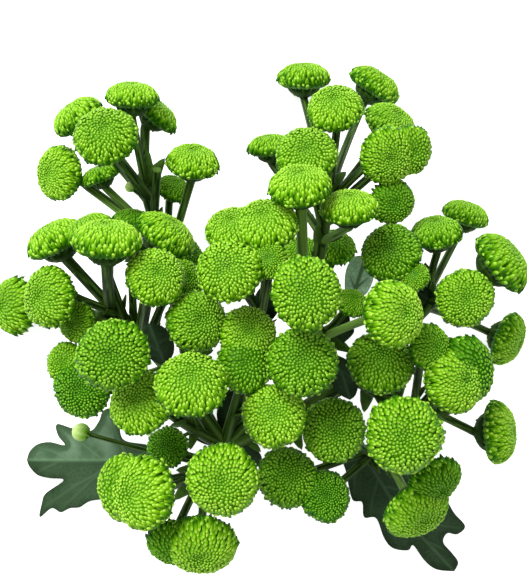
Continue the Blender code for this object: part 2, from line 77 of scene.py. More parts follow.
# Where each head's middle appears, its height and width in millimetres, the way that it faces in
# the view (0 is right, 90 is up), how far it is tilted toward the eye, and how light its green is:
# low values are painted shade for heads that lie deep among or under the others
HEADS = [Head(*row) for row in [
    # upper left
    (1, 77, 116, 55, 125, 6, 25.9, 0.95),
    (2, 132, 95, 62, 88, 9, 25.2, 0.95),
    (3, 105, 135, 88, 110, 56, 28.2, 0.7),
    (4, 157, 113, 42, 50, 6, 23.0, 0.8),
    (5, 58, 173, 45, 175, 45, 26.5, 1.0),
    (6, 100, 174, 44, 112, 5, 18.6, 0.7),
    (7, 193, 161, 60, 85, 28, 25.1, 0.95),
    (8, 174, 188, 36, 65, 38, 17.0, 0.5),
    # left
    (9, 55, 238, 75, 118, 8, 28.4, 0.95),
    (11, 107, 239, 108, 90, 17, 28.7, 1.0),
    (12, 136, 221, 62, 75, 15, 20.0, 0.3),
    (13, 167, 234, 72, 57, 15, 29.5, 1.0),
    (14, 184, 255, 50, 40, 45, 22.0, 0.3),
    (15, 48, 297, 88, 175, 50, 27.1, 0.75),
    (16, 13, 306, 11.5, 180, 35, 29.5, 0.8),
    (17, 156, 276, 104, 60, 68, 26.0, 0.9),
    (18, 184, 280, 79, 20, 50, 21.0, 0.6),
    (19, 113, 355, 120, 200, 85, 29.6, 0.46),
    (20, 197, 321, 96, 20, 72, 27.0, 0.6),
    (22, 82, 388, 80, 190, 75, 26.5, 0.08),
    (23, 76, 322, 78, 190, 60, 19.0, 0.7),
    # left of the centre
    (26, 248, 333, 94, 60, 75, 24.6, 1.0),
    (28, 229, 270, 114, 120, 72, 27.2, 0.85),
    (29, 265, 223, 104, 100, 45, 27.8, 0.9),
    (30, 191, 383, 120, 90, 60, 29.5, 0.85),
    (31, 140, 402, 100, 140, 62, 28.2, 1.0),
    # lower left
    (32, 141, 493, 104, 185, 52, 31.5, 1.0),
    (33, 222, 480, 116, 250, 78, 30.2, 0.88),
    (34, 201, 546, 90, 268, 42, 32.0, 0.95),
    (36, 167, 447, 62, 130, 75, 19.3, 0.2),
    # centre
    (39, 306, 293, 130, 90, 85, 29.2, 0.7),
    (40, 302, 361, 112, 90, 80, 29.8, 0.4),
    (41, 395, 314, 118, 5, 50, 28.7, 1.0),
    (42, 381, 361, 86, 85, 65, 29.8, 0.5),
    (43, 333, 246, 46, 85, 45, 21.6, 0.45),
    (45, 391, 252, 80, 110, 70, 26.7, 0.3),
    (55, 352, 302, 72, 60, 50, 15.0, 0.5),
    (57, 349, 206, 100, 92, 26, 24.8, 1.0),
    (58, 300, 185, 108, 93, 29, 26.5, 1.0),
    (59, 306, 154, 98, 95, 62, 26.5, 0.7),
    (60, 270, 145, 46, 95, 10, 22.0, 0.8),
    # upper right
    (61, 335, 107, 82, 100, 45, 25.7, 0.85),
    (62, 304, 76, 12.5, 90, 9, 27.7, 0.85),
    (63, 376, 84, 13, 58, 3, 27.7, 0.85),
    (64, 392, 124, 56, 55, 27, 26.5, 0.75),
    (65, 388, 156, 86, 330, 70, 25.5, 0.8),
    # right
    (46, 436, 232, 66, 95, 24, 24.8, 0.6),
    (47, 466, 214, 11.5, 72, 9, 24.4, 0.8),
    (48, 503, 261, 72, 38, 9, 31.0, 0.75),
    (49, 465, 298, 88, 0, 85, 26.2, 0.75),
    (50, 509, 340, 12.5, 338, 14, 28.0, 0.75),
    (53, 456, 380, 98, 0, 54, 29.0, 1.0),
    # below the centre
    (69, 274, 415, 100, 90, 80, 28.0, 1.0),
    (70, 334, 430, 84, 0, 85, 28.2, 0.5),
    (71, 404, 435, 126, 300, 82, 30.8, 0.7),
    (72, 288, 477, 76, 45, 82, 27.9, 0.35),
    (74, 418, 512, 86, 300, 35, 30.0, 0.7),
    (76, 500, 432, 60, 0, 10, 29.9, 1.0),
]]

# Heads pressed against a neighbour, given after their width. Its back and theirs are level
# Their last number, as in the table above, is painted shade for heads deep among the others
BESIDE = [Beside(*row) for row in [
    (10, 88, 228, 21.2, 9, 0.8),
    (21, 66, 363, 18.6, 22, 0.8),
    (27, 245, 364, 24.8, 26, 0.35),
    (56, 269, 260, 15.0, 28, 0.6),
    (25, 232, 228, 23.2, 29, 0.85),
    (37, 124, 487, 28.6, 32, 0.8),
    (35, 176, 544, 25.0, 34, 0.25),
    (38, 302, 253, 21.0, 43, 0.6),
    (51, 414, 276, 13.5, 45, 0.55),
    (52, 431, 347, 19.5, 53, 0.45),
    (54, 467, 370, 29.0, 53, 0.12),
    (66, 409, 151, 21.8, 65, 0.7),
    (67, 393, 202, 21.0, 65, 0.35),
    (73, 325, 496, 23.2, 72, 0.04),
    (75, 436, 482, 24.4, 74, 0.3),
]]

# Heads that others mostly hide, with fewer florets
HIDDEN = {4, 6, 8, 10, 12, 14, 16, 18, 21, 23, 27, 35, 36, 37, 38, 43, 51, 52, 54, 55, 56, 60, 66,
          67, 75}

# Heads that have grown pressed into each other, named by the first
PRESSED = [
    (9, 10), (13, 12), (20, 26, 27), (21, 22), (28, 56, 29, 25), (32, 37), (34, 35), (43, 38),
    (45, 51), (53, 52, 54), (58, 59), (65, 66, 67), (72, 73), (74, 75),
]

# The form of a head, as shares of its radius, and of the core that its florets grow from
BACK_DEPTH = 0.39
DOME_FULLNESS = 0.72
DOME_TOP = 0.92
RIM_HEIGHT = 0.24
DIMPLE_DEPTH = 0.09
DIMPLE_RADIUS = 0.20
CORE_SHARE = 0.93
CORE_SIDES = 16
CORE_RINGS = 8
# The core shows only in the gaps between florets, and its darker colour there is painted shade in
# the grooves
CORE_GROOVE_SHADE = 0.45

# The kinds of head, close ones in plain view and far ones mostly hidden, and their florets
CLOSE_KINDS, CLOSE_FLORETS, CLOSE_FRINGE = 4, 290, 34
FAR_KINDS, FAR_FLORETS, FAR_FRINGE = 2, 175, 27

# How the florets stand: each hoods over, and the rows crowd toward the middle
HOOD = 0.30
LOWEST_CLIMB = 0.30
PROFILE_STEPS = 200
CROWDING = -0.50
CROWD_START = 0.10
GAP_FILL = 1.07
FULL_TURN = 2 * math.pi
GOLDEN_TURN = math.pi * (3 - math.sqrt(5))

# What changes in them from the middle to the rim: their lean in degrees, how light they are, and
# their half width and half length for the gap that they fill. They are darker toward the middle,
# partly the young florets' deeper green and partly painted shade in the crowded, sunken middle
LEANS = (14, 75)
TONES = (0.15, 0.95)
WIDTHS = (0.68, 0.52)
LENGTHS = (0.85, 1.80)
STRAY_LEAN = 8
STRAY_TONE = 0.15

# The fringe's rows: how far out tips reach at least and at most, how high they are, how far out
# their feet are, and how high
FRINGE_ROWS = [(0.97, 1.02, 0.50, 0.95, 0.08), (0.98, 1.06, 0.37, 0.84, 0.03),
               (0.96, 1.13, 0.25, 0.72, 0.0)]

# How many waves run round a head that isn't quite round, and how high they are at most
WAVES = [(2, 0.025), (3, 0.02), (5, 0.015)]


def facing(middle, azimuth, tilt):
    """Direction that looks this way in the view and is tilted this far toward the eye."""
    to_eye = (EYE - middle).normalized()
    right = (Vector((1, 0, 0)) - to_eye * to_eye.x).normalized()
    up = to_eye.cross(right)
    turn = math.radians(azimuth)
    lean = math.radians(tilt)
    across = right * math.cos(turn) + up * math.sin(turn)
    return (across * math.cos(lean) + to_eye * math.sin(lean)).normalized()


def back_of(middle, forward, radius):
    """The middle of a head's flat back."""
    return middle - forward * radius * BACK_DEPTH


bodies = {}
for head in HEADS:
    middle = in_view(head.column, head.row, head.height * MM)
    forward = facing(middle, head.faces, head.tilt)
    radius = head.width * MM / 2
    bodies[head.number] = Body(head.number, middle, forward, radius, head.tone)
for head in BESIDE:
    level = bodies[head.neighbour]
    radius = head.width * MM / 2
    sight = in_view(head.column, head.row, 0) - EYE
    back = back_of(level.middle, level.forward, level.radius)
    rise = (back - back_of(Vector(), level.forward, radius) - EYE).dot(level.forward)
    middle = EYE + sight * rise / sight.dot(level.forward)
    bodies[head.number] = Body(head.number, middle, level.forward, radius, head.tone)


def between(ends, share):
    """The value this far from the first end to the second."""
    return ends[0] + (ends[1] - ends[0]) * share


def profile(climb):
    """Distance from the axis and height above the back, from the rim (0) to the middle (1)."""
    angle = climb * math.pi / 2
    radius = math.cos(angle) ** DOME_FULLNESS
    height = between((RIM_HEIGHT, DOME_TOP), math.sin(angle))
    return radius, height - DIMPLE_DEPTH * math.exp(-((radius / DIMPLE_RADIUS) ** 2))


def saved(bm, name):
    """A finished shape as a mesh."""
    made = bpy.data.meshes.new(name)
    bm.to_mesh(made)
    bm.free()
    return made


def shown(bm, name, material):
    """A finished piece as an object of one material, smooth all over."""
    for face in bm.faces:
        face.smooth = True
    mesh = saved(bm, name)
    mesh.materials.append(material)
    made = bpy.data.objects.new(name, mesh)
    bpy.context.scene.collection.objects.link(made)
    return made


def new_shape(*layers):
    """An empty shape whose points hold these numbers."""
    bm = bmesh.new()
    for layer in layers:
        bm.verts.layers.float.new(layer)
    return bm


def spun_round(bm, outline, sides):
    """Turns an outline of distances from the axis and heights into a closed round shape."""
    line = [bm.verts.new((radius, 0, height)) for radius, height in outline]
    edges = [bm.edges.new(pair) for pair in zip(line, line[1:])]
    bmesh.ops.spin(bm, geom=line + edges, cent=(0, 0, 0), axis=(0, 0, 1), angle=FULL_TURN,
                   steps=sides, use_merge=True)
    bmesh.ops.remove_doubles(bm, verts=bm.verts[:], dist=1e-5)
    bmesh.ops.recalc_face_normals(bm, faces=bm.faces)


def floret(name, sides, rings, blunt):
    """One floret, a fleshy scale along +Z that hoods over toward -Y."""
    bm = bmesh.new()
    bmesh.ops.create_uvsphere(bm, u_segments=sides, v_segments=rings, radius=1)
    tip = bm.verts.layers.float.new("tip")
    bm.verts.layers.float.new("tone")
    for vert in bm.verts:
        along = vert.co.z
        vert.co.x *= 1 + blunt * along
        vert.co.y *= 1 + blunt * along
        vert.co.y -= HOOD * (along + 1) ** 2 / 4
        vert[tip] = (along + 1) / 2
    return saved(bm, name)


def core(name):
    """The green disc and dome that the florets grow from, turned about the axis."""
    bm = new_shape("tip", "tone")
    outline = [(0, 0), (0.60, 0), (0.78, 0.10)]
    for i in range(CORE_RINGS):
        radius, height = profile(i / (CORE_RINGS - 1))
        outline.append((radius * CORE_SHARE * (i < CORE_RINGS - 1), height * CORE_SHARE + 0.01))
    spun_round(bm, outline, CORE_SIDES)
    # Its colour is painted shade for the grooves where it shows
    for vert in bm.verts:
        for layer in ("tip", "tone"):
            vert[bm.verts.layers.float[layer]] = CORE_GROOVE_SHADE
    return saved(bm, name)


def placed(across, outer, along, middle):
    """The matrix that turns the axes into these three and moves the origin to the middle."""
    columns = (across, outer, along, middle)
    return Matrix([[column[k] for column in columns] for k in range(3)] + [[0, 0, 0, 1]])


def standing(up, foot):
    """The matrix that stands a shape on its foot with its axis this way up."""
    start = Vector((0, 0, 1)) if abs(up.z) < 0.9 else Vector((0, 1, 0))
    side = up.cross(start).normalized()
    return placed(side, side.cross(up).normalized(), up, foot)


def add_copy(bm, shape):
    """Adds a copy of a shape, and gives its points."""
    start = len(bm.verts)
    bm.from_mesh(shape)
    bm.verts.ensure_lookup_table()
    return bm.verts[start:]


def grow(bm, shape, point, axis, back, size, light):
    """Adds a floret or bract with its tip at the point, by half width, thickness and length."""
    width, thick, length = size
    fresh = add_copy(bm, shape)
    across = back.cross(axis).normalized()
    outer = axis.cross(across)
    place = placed(across * width, outer * thick, axis * length, point - axis * length)
    bmesh.ops.transform(bm, matrix=place, verts=fresh)
    layer = bm.verts.layers.float["tone"]
    for vert in fresh:
        vert[layer] = light


def turned_to(place, count):
    """The turn about the axis that leads to a place in a ring of so many."""
    return Matrix.Rotation(place * FULL_TURN / count, 3, "Z")


def add_florets(bm, draw, count, shape):
    """Adds the florets in turned rows, upright in the middle and leaning out at the rim."""
    spots = [profile(1 - (1 - LOWEST_CLIMB) * i / PROFILE_STEPS) for i in range(PROFILE_STEPS + 1)]
    run = [0.0]
    crowd = [0.0]
    for (r0, z0), (r1, z1) in zip(spots, spots[1:]):
        length = math.hypot(r1 - r0, z1 - z0)
        run.append(run[-1] + length)
        crowd.append(crowd[-1] + length * (r0 + r1) * (CROWD_START + run[-1]) ** CROWDING)
    k = 0
    for i in range(count):
        want = crowd[-1] * (i + 0.5) / count
        while crowd[k + 1] < want:
            k += 1
        share = (want - crowd[k]) / (crowd[k + 1] - crowd[k])
        (r0, z0), (r1, z1) = spots[k], spots[k + 1]
        radius = between((r0, r1), share)
        height = between((z0, z1), share)
        slope = Vector((r1 - r0, 0, z1 - z0)).normalized()
        out = run[k] / run[-1]
        turn = Matrix.Rotation(i * GOLDEN_TURN + draw.uniform(-0.05, 0.05), 3, "Z")
        normal = turn @ Vector((-slope.z, 0, slope.x))
        inward = turn @ -slope
        gap = math.sqrt(crowd[-1] / count / (CROWD_START + run[k]) ** CROWDING * math.pi) * GAP_FILL
        lean = between(LEANS, min(1, out * 1.15)) + draw.uniform(-STRAY_LEAN, STRAY_LEAN)
        lean = math.radians(lean)
        axis = normal * math.cos(lean) + inward * math.sin(lean)
        lift = 1 + draw.uniform(-0.018, 0.018)
        point = turn @ Vector((radius, 0, 0)) * lift + Vector((0, 0, height * lift))
        light = between(TONES, min(1, out / 0.8)) + draw.uniform(-STRAY_TONE, STRAY_TONE)
        width = gap * between(WIDTHS, out) * draw.uniform(0.90, 1.10)
        size = (width, width * 0.75, gap * between(LENGTHS, out))
        grow(bm, shape, point, axis, normal * math.sin(lean) - inward * math.cos(lean), size, light)


def add_fringe(bm, draw, count):
    """Adds the rows of longer florets that spread round the rim."""
    for ring, (reach, spread, height, foot, base) in enumerate(FRINGE_ROWS):
        for i in range(count):
            turn = turned_to(i + ring / 2 + draw.uniform(-0.2, 0.2), count)
            far = draw.uniform(reach, spread)
            run_out = Vector((far - foot, 0, height - base + draw.uniform(-0.04, 0.04)))
            axis = turn @ run_out.normalized()
            back = turn @ Vector((run_out.z, 0, -run_out.x)).normalized()
            point = turn @ Vector((far, 0, base + run_out.z))
            size = (draw.uniform(3.1, 3.9) / count, 2.4 / count, run_out.length / 2)
            grow(bm, fringe_shape, point, axis, back, size, draw.uniform(0.4, 1.0))


def head_kind(name, seed, count, fringe, shape):
    """A whole flower head of radius 1 whose back lies at z = 0."""
    draw = random.Random(seed)
    bm = bmesh.new()
    bm.from_mesh(core_shape)
    add_florets(bm, draw, count, shape)
    add_fringe(bm, draw, fringe)
    return saved(bm, name)


core_shape = core("core")
close_shape = floret("floret", 6, 4, -0.10)
far_shape = floret("far_floret", 5, 3, -0.10)
fringe_shape = floret("fringe_floret", 5, 4, -0.05)
close_kinds = [head_kind(f"close_head_{i}", 11 + i, CLOSE_FLORETS, CLOSE_FRINGE, close_shape)
               for i in range(CLOSE_KINDS)]
far_kinds = [head_kind(f"far_head_{i}", 31 + i, FAR_FLORETS, FAR_FRINGE, far_shape)
             for i in range(FAR_KINDS)]


def fill_in(tree, node, sockets):
    """Gives each of a node's sockets its value, or a link from another node."""
    for socket, value in sockets.items():
        if isinstance(value, bpy.types.NodeSocket):
            tree.links.new(value, node.inputs[socket])
        else:
            node.inputs[socket].default_value = value


def new_material(name, roughness, specular):
    """A new material, its node tree and its shader."""
    made = bpy.data.materials.new(name)
    made.use_nodes = True
    shader = made.node_tree.nodes["Principled BSDF"]
    fill_in(made.node_tree, shader, {"Roughness": roughness, "Specular IOR Level": specular})
    return made, made.node_tree, shader


def add_node(tree, kind, sockets, **settings):
    """A new node with these sockets and settings."""
    node = tree.nodes.new("ShaderNode" + kind)
    for setting, value in settings.items():
        setattr(node, setting, value)
    fill_in(tree, node, sockets)
    return node


def point_value(tree, name):
    """What the points hold under this name."""
    return add_node(tree, "Attribute", {}, attribute_name=name).outputs["Fac"]


def worked_out(tree, operation, *values):
    """What an operation makes of these values."""
    return add_node(tree, "Math", dict(enumerate(values)), operation=operation).outputs["Value"]


def noise(tree, place, scale, detail):
    """Soft random light and dark across a place."""
    sockets = {"Vector": place, "Scale": scale, "Detail": detail}
    return add_node(tree, "TexNoise", sockets).outputs["Fac"]


def ranged(tree, value, old, new):
    """A value carried over from its old range to a new one."""
    names = ("Value", "From Min", "From Max", "To Min", "To Max")
    return add_node(tree, "MapRange", dict(zip(names, (value, *old, *new)))).outputs["Result"]


def ramp(tree, value, *stops):
    """The colour at a value, between stops that are each a place and a colour."""
    node = add_node(tree, "ValToRGB", {"Fac": value})
    elements = node.color_ramp.elements
    for element, (place, colour) in zip(elements, (stops[0], stops[-1])):
        element.position = place
        element.color = (*colour, 1)
    for place, colour in stops[1:-1]:
        elements.new(place).color = (*colour, 1)
    return node.outputs["Color"]


def mixed_colour(tree, share, first, second, blend="MIX"):
    """One colour laid over another by a share."""
    sockets = {"Factor": share, "A": first, "B": second}
    node = add_node(tree, "Mix", sockets, data_type="RGBA", blend_type=blend)
    return node.outputs["Result"]


lime, tree, shader = new_material("lime_florets", 0.45, 0.06)
tip_value = point_value(tree, "tip")
# Dark at the floret bases and pale at their tips: painted shade in the grooves between florets and
# a painted highlight on each tip
along = ramp(tree, tip_value, (0.25, (0.030, 0.16, 0.0)), (0.72, (0.23, 0.54, 0.004)),
             (0.93, (0.56, 0.88, 0.10)))
object_place = add_node(tree, "TexCoord", {}).outputs["Object"]
mottle = noise(tree, object_place, 900, 3)
shade = worked_out(tree, "MULTIPLY_ADD", point_value(tree, "tone"), 0.45, mottle)
tone_colour = ramp(tree, shade, (0.45, (0.36, 0.56, 0.30)), (1.0, (1, 1, 1)))
# Each head's painted shade darkens it all but the very tips, which keep part of their painted
# highlight
painted_head_shade = ramp(tree, point_value(tree, "light"), (0.0, (0.175, 0.42, 0.11)), (1.0, (1, 1, 1)))
painted_tip_highlights = ranged(tree, tip_value, (0.78, 0.97), (1, 0.45))
deep = mixed_colour(tree, 1, along, tone_colour, "MULTIPLY")
whole = mixed_colour(tree, painted_tip_highlights, deep, painted_head_shade, "MULTIPLY")
paled = mixed_colour(tree, point_value(tree, "pale"), whole, (0.60, 0.74, 0.34, 1))
fill_in(tree, shader, {"Base Color": paled})


def put_head(bm, body):
    """Adds a head to a mesh, turned to face its way, a little uneven as real ones are."""
    draw = random.Random(100 + body.number)
    kinds = far_kinds if body.number in HIDDEN else close_kinds
    fresh = add_copy(bm, kinds[body.number % len(kinds)])
    turned = standing(body.forward, back_of(body.middle, body.forward, body.radius))
    stretch = [draw.uniform(0.97, 1.02), draw.uniform(0.97, 1.02), draw.uniform(0.95, 1.03)]
    spun = Matrix.Rotation(draw.uniform(0, FULL_TURN), 4, "Z")
    waves = [(times, draw.uniform(0, most), draw.uniform(0, 6.3)) for times, most in WAVES]
    for vert in fresh:
        around = math.atan2(vert.co.y, vert.co.x)
        swell = 1 + sum(high * math.sin(times * around + start) for times, high, start in waves)
        vert.co.x *= swell
        vert.co.y *= swell
    place = turned @ Matrix.Scale(body.radius, 4) @ Matrix.Diagonal((*stretch, 1)) @ spun
    bmesh.ops.transform(bm, matrix=place, verts=fresh)
    # Each head's points carry its painted shade
    light = bm.verts.layers.float["light"]
    for vert in fresh:
        vert[light] = body.tone


def rest_on_floor(bm):
    """Keeps every point at or above the surface that the spray lies on."""
    for vert in bm.verts:
        vert.co.z = max(vert.co.z, 0.0)


groups = {group[0]: group for group in PRESSED}
alone = set(bodies) - {number for group in PRESSED for number in group[1:]}
for first in sorted(alone):
    bm = new_shape("tip", "tone", "light")
    for number in groups.get(first, (first,)):
        put_head(bm, bodies[number])
    rest_on_floor(bm)
    flower = shown(bm, f"head_{first:02d}", lime)
    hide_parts(f"bloom_{first:02d}")
    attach(flower, "root")


# The leaves. Each is a thin blue-green blade with rounded lobes and paler veins, a little folded
# along its midrib, on a short stalk from the branch beside it. Painted shade darkens it toward its
# edges and its base, and each side has its own painted light and shade.
LEAF_THICKNESS = 0.0006
LEAF_FOLD = 0.16
LEAF_ARCH = 0.003
LEAF_CELL = 1.35
LOWEST_LEAF = 0.0002
# How wide the midrib is in view, how wide a side vein is against it and how strong from root to
# tip, and how far the veins rise
VEIN_WIDTH = 1.6
SIDE_VEIN = 0.7
SIDE_VEIN_FADE = (0.9, 0.4)
VEIN_RISE = 0.0005
RELIEF = 0.0003
# How much painted shade darkens a leaf at its edge and at its base, leaving a painted sheen inward,
# and how far in it reaches its full light
EDGE_LIGHTS, EDGE_REACH = (0.5, 1), 7
BASE_LIGHTS, BASE_REACH = (0.65, 1), 0.35

# Leaves by name: midrib from base to tip, the outline on each side of it, the side veins, the
# height in millimetres at base and tip, and how light each side is: painted light and shade, darker
# where a side lies in the shade of its fold or of the heads
LEAVES = [
    ("leaf_lower_left", [(150, 452), (125, 459), (100, 461), (62, 461), (27, 460)],
     [(148, 445), (124, 440), (119, 424), (112, 409), (103, 411), (99, 421), (90, 431), (72, 428),
      (57, 424), (58, 435), (65, 445), (50, 442), (38, 444), (30, 451)],
     [(150, 459), (130, 482), (108, 497), (90, 501), (80, 507), (70, 508), (61, 512), (52, 508),
      (40, 517), (42, 503), (46, 493), (64, 480), (50, 478), (38, 475), (30, 467)],
     [[(128, 458), (118, 436), (110, 414)], [(104, 461), (84, 445), (62, 430)],
      [(72, 461), (54, 452), (40, 448)], [(120, 460), (92, 480), (64, 507)],
      [(104, 470), (78, 484), (46, 506)], [(60, 461), (46, 468), (38, 472)],
      [(136, 457), (122, 478), (106, 494)]], (22, 0), (0.49, 0.21)),
    ("leaf_lower_right", [(356, 448), (372, 468), (388, 494), (420, 535), (454, 571)],
     [(342, 456), (346, 472), (352, 499), (362, 502), (364, 517), (376, 518), (384, 538),
      (393, 548), (408, 550), (413, 545), (424, 560), (436, 569)],
     [(372, 444), (398, 452), (422, 466), (440, 488), (450, 506), (455, 514), (465, 526),
      (457, 534), (447, 533), (443, 542), (452, 553), (458, 562)],
     [[(364, 458), (354, 478), (354, 494)], [(378, 478), (372, 498), (370, 513)],
      [(390, 497), (388, 520), (396, 543)], [(368, 462), (395, 464), (420, 474)],
      [(384, 486), (412, 492), (444, 512)], [(410, 522), (434, 524), (460, 528)],
      [(424, 540), (438, 546), (448, 552)]], (26, 0), (0.13, 0.13)),
    ("leaf_middle", [(352, 300), (358, 280), (366, 256)],
     [(345, 290), (346, 270), (354, 257)], [(366, 294), (374, 276), (372, 260)],
     [[(355, 290), (350, 276)], [(356, 288), (368, 278)]], (44, 58), (1.5, 2.0)),
    ("leaf_left", [(166, 366), (158, 345), (150, 324)],
     [(152, 360), (141, 345), (142, 330)], [(174, 352), (172, 336), (162, 326)],
     [[(160, 352), (148, 344)], [(158, 344), (168, 338)]], (66, 82), (0.14, 0.08)),
    ("leaf_beside_middle", [(330, 352), (343, 376), (350, 400)],
     [(329, 372), (335, 390), (342, 396)], [(350, 362), (358, 380), (356, 394)],
     [[(338, 366), (334, 378)], [(340, 370), (352, 378)]], (62, 52), (0.14, 0.1)),
    # The inner leaves are dark sheets inside the spray where it lies in deep shade; their
    # near-black is painted shade
    ("inner_leaf_low", [(227, 445), (240, 450), (258, 466)],
     [(232, 440), (246, 440), (256, 448), (262, 458)], [(228, 452), (238, 462), (250, 470)],
     [[(236, 448), (250, 446)], [(238, 450), (244, 464)]], (13, 6), (0.05, 0.05)),
    ("inner_leaf_right", [(226, 441), (240, 418), (256, 388)],
     [(220, 432), (217, 410), (228, 390), (246, 382)],
     [(238, 436), (252, 424), (262, 408), (264, 394)],
     [[(230, 434), (226, 414)], [(232, 430), (252, 418)]], (9, 8), (0.05, 0.05)),
    ("inner_leaf_left", [(221, 443), (204, 424), (190, 398)],
     [(212, 446), (194, 438), (182, 418), (182, 404)], [(222, 432), (212, 412), (200, 398)],
     [[(214, 436), (196, 430)], [(210, 430), (208, 412)]], (11, 8), (0.05, 0.05)),
    ("inner_leaf_upper", [(262, 322), (266, 304), (274, 284)],
     [(254, 314), (254, 298), (264, 284)], [(272, 320), (282, 304), (284, 288)],
     [[(263, 314), (257, 302)], [(264, 310), (278, 302)]], (56, 60), (0.05, 0.05)),
    ("inner_leaf_middle", [(320, 340), (334, 334), (350, 322)],
     [(322, 330), (336, 322), (348, 314)], [(328, 350), (342, 344), (354, 332)],
     [[(326, 338), (334, 326)], [(328, 338), (338, 344)]], (52, 55), (0.05, 0.05)),
    ("inner_leaf_far_right", [(432, 306), (424, 296), (412, 290)],
     [(428, 312), (416, 306), (408, 298)], [(434, 296), (426, 286), (416, 282)],
     [[(428, 302), (418, 304)], [(428, 300), (424, 288)]], (54, 58), (0.05, 0.05)),
]


def relief(tree, shader, height, strength):
    """Raises the surface by a value, as bump."""
    bump = add_node(tree, "Bump", {"Height": height, "Strength": strength, "Distance": RELIEF})
    fill_in(tree, shader, {"Normal": bump.outputs["Normal"]})


dark, tree, shader = new_material("dark_leaves", 0.6, 0.05)
object_place = add_node(tree, "TexCoord", {}).outputs["Object"]
net = add_node(tree, "TexVoronoi", {"Vector": object_place, "Scale": 420},
               feature="DISTANCE_TO_EDGE")
net_line = ranged(tree, net.outputs["Distance"], (0, 0.12), (0.30, 0))
veined = worked_out(tree, "MAXIMUM", point_value(tree, "vein"), net_line)
clouds = noise(tree, object_place, 60, 4)
lifted = worked_out(tree, "MULTIPLY_ADD", clouds, 0.3, point_value(tree, "light"))
blade = ramp(tree, lifted, (0.12, (0.005, 0.016, 0.003)), (0.60, (0.075, 0.145, 0.070)),
             (1.0, (0.62, 0.92, 0.64)))
strength = worked_out(tree, "MULTIPLY", veined, lifted)
paled = mixed_colour(tree, strength, blade, (0.15, 0.27, 0.14, 1))
fill_in(tree, shader, {"Base Color": paled})
relief(tree, shader, veined, 0.5)


def nearest_on(line, point):
    """How far off a line in view is, its nearest point and how far along the line that is."""
    best = (1e9, None, 0.0)
    for i, (start, end) in enumerate(zip(line, line[1:])):
        run = end - start
        share = max(0.0, min(1.0, (point - start).dot(run) / run.length_squared))
        spot = start + run * share
        found = ((point - spot).length, spot, (i + share) / (len(line) - 1))
        best = min(best, found, key=lambda near: near[0])
    return best


def within(outline, point):
    """Whether a point in view lies inside a closed outline."""
    found = False
    for start, end in zip(outline, outline[1:] + outline[:1]):
        if (start.y > point.y) != (end.y > point.y):
            if point.x < start.x + (point.y - start.y) * (end.x - start.x) / (end.y - start.y):
                found = not found
    return found


def smooth_path(corners, count):
    """A smooth path of this many points through the corners."""
    path = []
    spans = len(corners) - 1
    for i in range(count):
        place = i * spans / (count - 1)
        k = min(int(place), spans - 1)
        t = place - k
        before = corners[max(k - 1, 0)]
        after = corners[min(k + 2, spans)]
        start, end = corners[k], corners[k + 1]
        path.append(0.5 * (2 * start + (end - before) * t
                           + (2 * before - 5 * start + 4 * end - after) * t * t
                           + (3 * start - before - 3 * end + after) * t ** 3))
    return path


def flat_blade(outline):
    """A grid of small squares trimmed to an outline in view."""
    bm = new_shape("vein", "light")
    low, high = (Vector([most(point[k] for point in outline) for k in (0, 1)])
                 for most in (min, max))
    columns, rows = (int(side / LEAF_CELL) + 2 for side in high - low)
    bmesh.ops.create_grid(bm, x_segments=columns, y_segments=rows, size=0.5)
    bmesh.ops.scale(bm, verts=bm.verts, vec=(columns * LEAF_CELL, rows * LEAF_CELL, 1))
    centre = (low + high) / 2
    bmesh.ops.translate(bm, verts=bm.verts, vec=(centre.x, centre.y, 0))
    outside = [face for face in bm.faces if not within(outline, face.calc_center_median().xy)]
    bmesh.ops.delete(bm, geom=outside, context="FACES")
    for vert in bm.verts:
        if vert.is_boundary:
            vert.co.xy = nearest_on(outline + outline[:1], vert.co.xy)[1]
    return bm


def thicken(bm):
    """Turns a thin sheet's upper side up and gives the sheet its thickness."""
    bmesh.ops.recalc_face_normals(bm, faces=bm.faces)
    if sum(face.normal.z for face in bm.faces) < 0:
        bmesh.ops.reverse_faces(bm, faces=bm.faces)
    raised = bmesh.ops.extrude_face_region(bm, geom=bm.faces[:])
    upper = [item for item in raised["geom"] if isinstance(item, bmesh.types.BMVert)]
    bmesh.ops.translate(bm, verts=upper, vec=(0, 0, LEAF_THICKNESS))
    bmesh.ops.recalc_face_normals(bm, faces=bm.faces)


